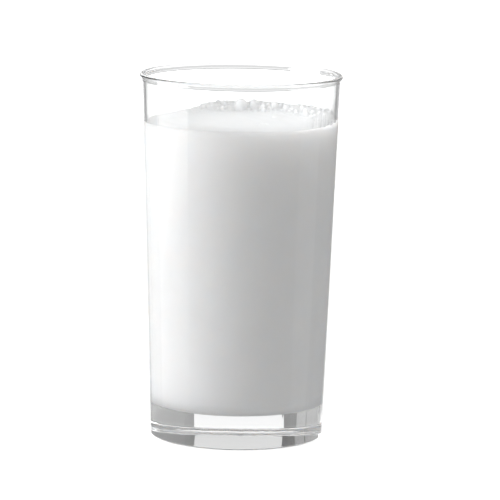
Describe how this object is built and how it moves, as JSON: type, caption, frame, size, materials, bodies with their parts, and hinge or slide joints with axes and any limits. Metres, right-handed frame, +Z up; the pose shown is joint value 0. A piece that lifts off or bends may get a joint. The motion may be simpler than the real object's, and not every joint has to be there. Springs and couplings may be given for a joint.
{
  "type": "glass of ayran",
  "caption": "Clear tapered tumbler with a thick solid base, filled with a white yoghurt drink that has a low collar of foam.",
  "frame": {"origin": "centre of the underside, on the surface the glass stands on", "axes": "+Z up along the glass's axis; the picture looks along +Y, with +X to its right"},
  "size_m": [0.0662, 0.0662, 0.12],
  "materials": {
    "clear_glass": "polished clear glass",
    "ayran": "smooth wet white liquid with a foamy edge"
  },
  "bodies": {
    "root": {"glass": "clear_glass", "ayran": "ayran"}
  },
  "joints": []
}
